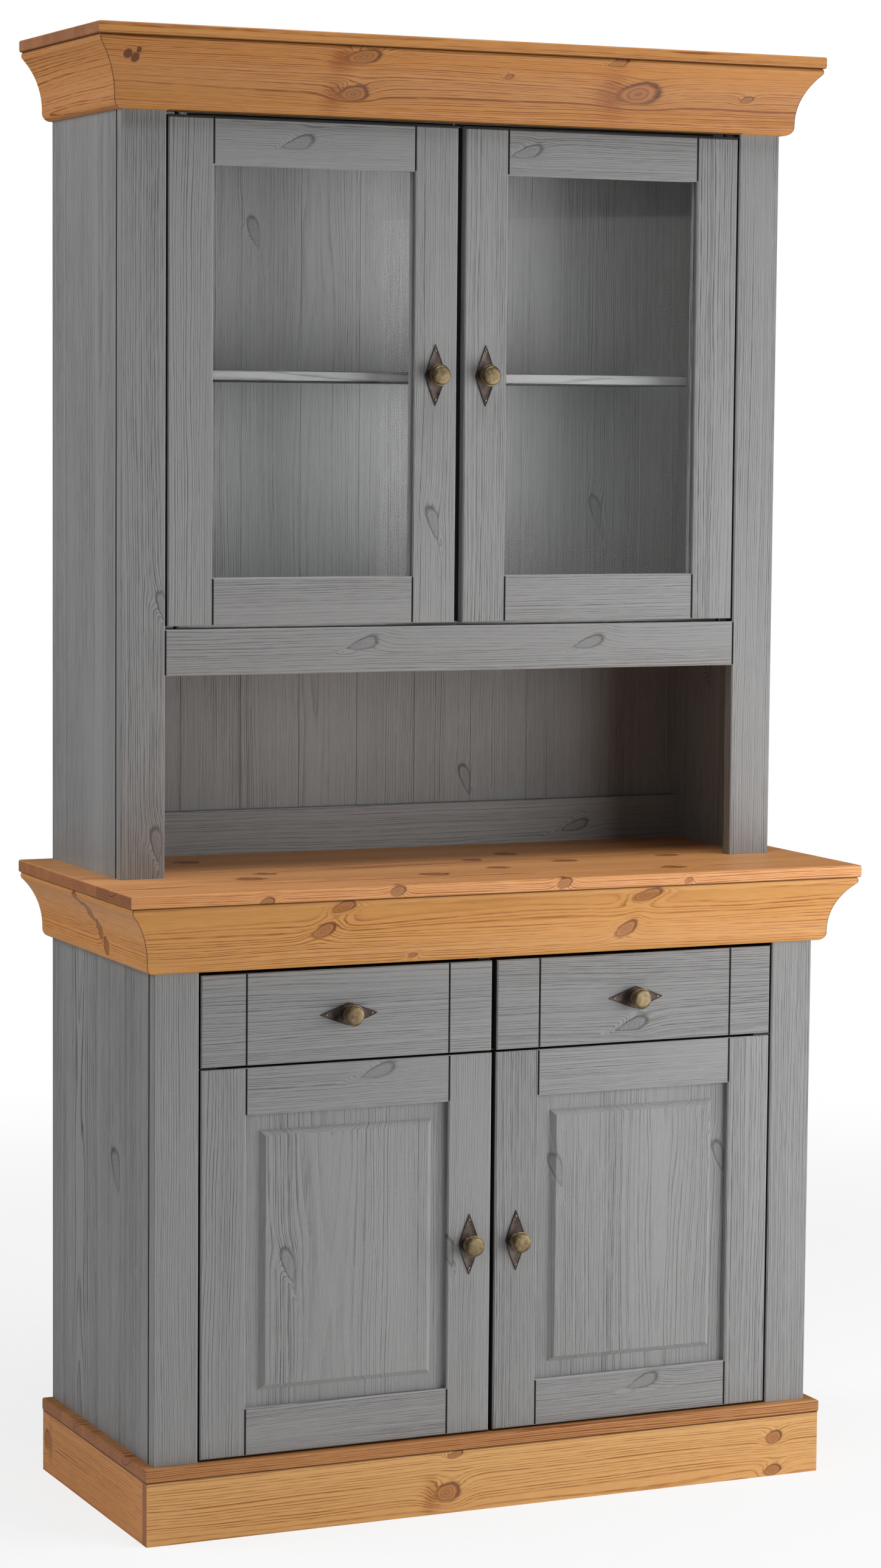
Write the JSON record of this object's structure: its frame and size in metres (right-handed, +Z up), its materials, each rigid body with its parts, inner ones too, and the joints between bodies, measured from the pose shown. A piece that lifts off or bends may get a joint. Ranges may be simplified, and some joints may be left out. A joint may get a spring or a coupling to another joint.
{
  "type": "welsh dresser",
  "caption": "Tall wooden dresser: a glazed upper cupboard over an open niche, on a deeper base with drawers above panelled doors, under cove mouldings and on a plinth.",
  "frame": {"origin": "middle of the footprint at floor level", "axes": "+Z up, front towards -Y, +X to the right as seen from the front"},
  "size_m": [1.01, 0.4306, 1.861],
  "materials": {
    "grey_painted_pine": "brushed grey paint",
    "oiled_pine": "oiled honey pine",
    "bare_pine": "planed",
    "clear_glass": "polished",
    "aged_brass": "antique",
    "hinge_steel": "bright"
  },
  "bodies": {
    "carcase": {"plinth_front": "oiled_pine", "plinth_side_left": "oiled_pine", "plinth_side_right": "oiled_pine", "plinth_back_rail": "bare_pine", "base_board": "oiled_pine", "base_side_left": "grey_painted_pine", "base_side_right": "grey_painted_pine", "base_stile_left": "grey_painted_pine", "base_stile_right": "grey_painted_pine", "base_top_rail": "bare_pine", "base_back": "grey_painted_pine", "base_shelf": "grey_painted_pine", "drawer_shelf": "bare_pine", "drawer_divider": "bare_pine", "counter_board": "oiled_pine", "top_board": "oiled_pine", "counter_moulding_front": "oiled_pine", "counter_moulding_left": "oiled_pine", "counter_moulding_right": "oiled_pine", "cornice_front": "oiled_pine", "cornice_left": "oiled_pine", "cornice_right": "oiled_pine", "upper_side_left": "grey_painted_pine", "upper_side_right": "grey_painted_pine", "upper_stile_left": "grey_painted_pine", "upper_stile_right": "grey_painted_pine", "under_door_rail": "grey_painted_pine", "cornice_rail": "bare_pine", "upper_floor": "grey_painted_pine", "back_boards": "grey_painted_pine", "niche_back_rail": "grey_painted_pine", "upper_shelf": "grey_painted_pine", "lower_hinge_brackets": "hinge_steel", "hinge_pins": "hinge_steel"},
    "upper_left_door": {"upper_left_door_stiles": "grey_painted_pine", "upper_left_door_rails": "grey_painted_pine", "upper_left_door_glass": "clear_glass", "upper_left_door_handle": "aged_brass"},
    "upper_right_door": {"upper_right_door_stiles": "grey_painted_pine", "upper_right_door_rails": "grey_painted_pine", "upper_right_door_glass": "clear_glass", "upper_right_door_handle": "aged_brass"},
    "lower_left_door": {"lower_left_door_stiles": "grey_painted_pine", "lower_left_door_rails": "grey_painted_pine", "lower_left_door_panel": "grey_painted_pine", "lower_left_door_handle": "aged_brass"},
    "lower_right_door": {"lower_right_door_stiles": "grey_painted_pine", "lower_right_door_rails": "grey_painted_pine", "lower_right_door_panel": "grey_painted_pine", "lower_right_door_handle": "aged_brass"},
    "left_drawer": {"left_drawer_front": "grey_painted_pine", "left_drawer_sides": "bare_pine", "left_drawer_bottom": "bare_pine", "left_drawer_back": "bare_pine", "left_drawer_handle": "aged_brass"},
    "right_drawer": {"right_drawer_front": "grey_painted_pine", "right_drawer_sides": "bare_pine", "right_drawer_bottom": "bare_pine", "right_drawer_back": "bare_pine", "right_drawer_handle": "aged_brass"}
  },
  "joints": [
    {"name": "upper_left_door_hinge", "type": "hinge", "parent": "carcase", "child": "upper_left_door", "pos_m": [-0.383, -0.03775, 1.126], "axis": [0, 0, -1], "range_deg": [0, 105]},
    {"name": "upper_right_door_hinge", "type": "hinge", "parent": "carcase", "child": "upper_right_door", "pos_m": [0.383, -0.03775, 1.126], "axis": [0, 0, 1], "range_deg": [0, 105]},
    {"name": "lower_left_door_hinge", "type": "hinge", "parent": "carcase", "child": "lower_left_door", "pos_m": [-0.383, -0.15975, 0.0984], "axis": [0, 0, -1], "range_deg": [0, 105]},
    {"name": "lower_right_door_hinge", "type": "hinge", "parent": "carcase", "child": "lower_right_door", "pos_m": [0.383, -0.15975, 0.0984], "axis": [0, 0, 1], "range_deg": [0, 105]},
    {"name": "left_drawer_slide", "type": "slide", "parent": "carcase", "child": "left_drawer", "axis": [0, -1, 0], "range_m": [0, 0.24]},
    {"name": "right_drawer_slide", "type": "slide", "parent": "carcase", "child": "right_drawer", "axis": [0, -1, 0], "range_m": [0, 0.24]}
  ]
}
